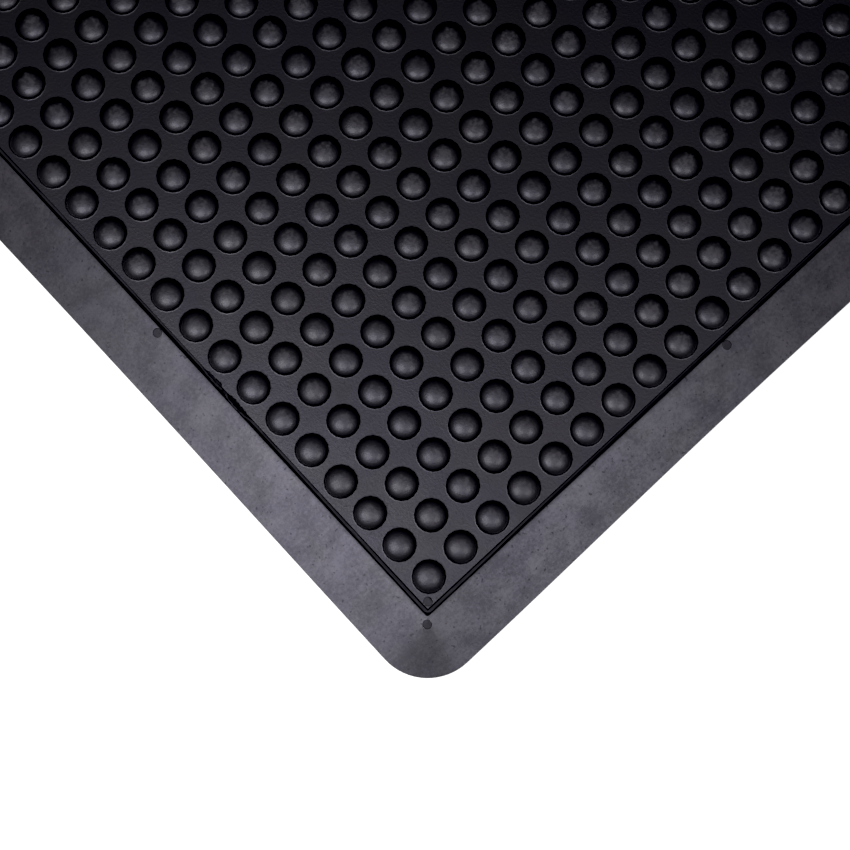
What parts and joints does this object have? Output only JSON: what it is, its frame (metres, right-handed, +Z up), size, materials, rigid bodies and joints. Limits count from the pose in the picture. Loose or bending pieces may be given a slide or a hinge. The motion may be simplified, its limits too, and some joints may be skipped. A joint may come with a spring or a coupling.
{
  "type": "anti fatigue mat",
  "caption": "Rectangular black rubber anti fatigue mat: a field of hollow round domes inside a bevelled border with rounded corners, for standing on at a desk or bench.",
  "frame": {"origin": "middle of the underside, on the floor", "axes": "+X along the long side towards the right, +Y along the short side towards the back, +Z up out of the domes"},
  "size_m": [0.8934, 0.606, 0.014],
  "materials": {
    "panel_rubber": "semi-gloss moulded black rubber, lightly scratched",
    "border_rubber": "matte moulded black rubber with a pale mottled bloom",
    "band_rubber": "matte black sheet rubber",
    "strip_rubber": "matte black rubber, uneven and torn in one place",
    "peg_rubber": "matte cut black rubber"
  },
  "bodies": {
    "root": {"dome_panel": "panel_rubber", "border_ring": "border_rubber", "joining_band": "band_rubber", "filler_strip": "strip_rubber", "panel_peg_front_left": "peg_rubber", "panel_peg_front_right": "peg_rubber", "panel_peg_back_left": "peg_rubber", "panel_peg_back_right": "peg_rubber", "corner_peg_front_left": "peg_rubber", "corner_peg_front_right": "peg_rubber", "corner_peg_back_left": "peg_rubber", "corner_peg_back_right": "peg_rubber", "long_peg_front_left": "peg_rubber", "long_peg_front_right": "peg_rubber", "long_peg_back_left": "peg_rubber", "long_peg_back_right": "peg_rubber", "short_peg_left": "peg_rubber", "short_peg_right": "peg_rubber"}
  },
  "joints": []
}
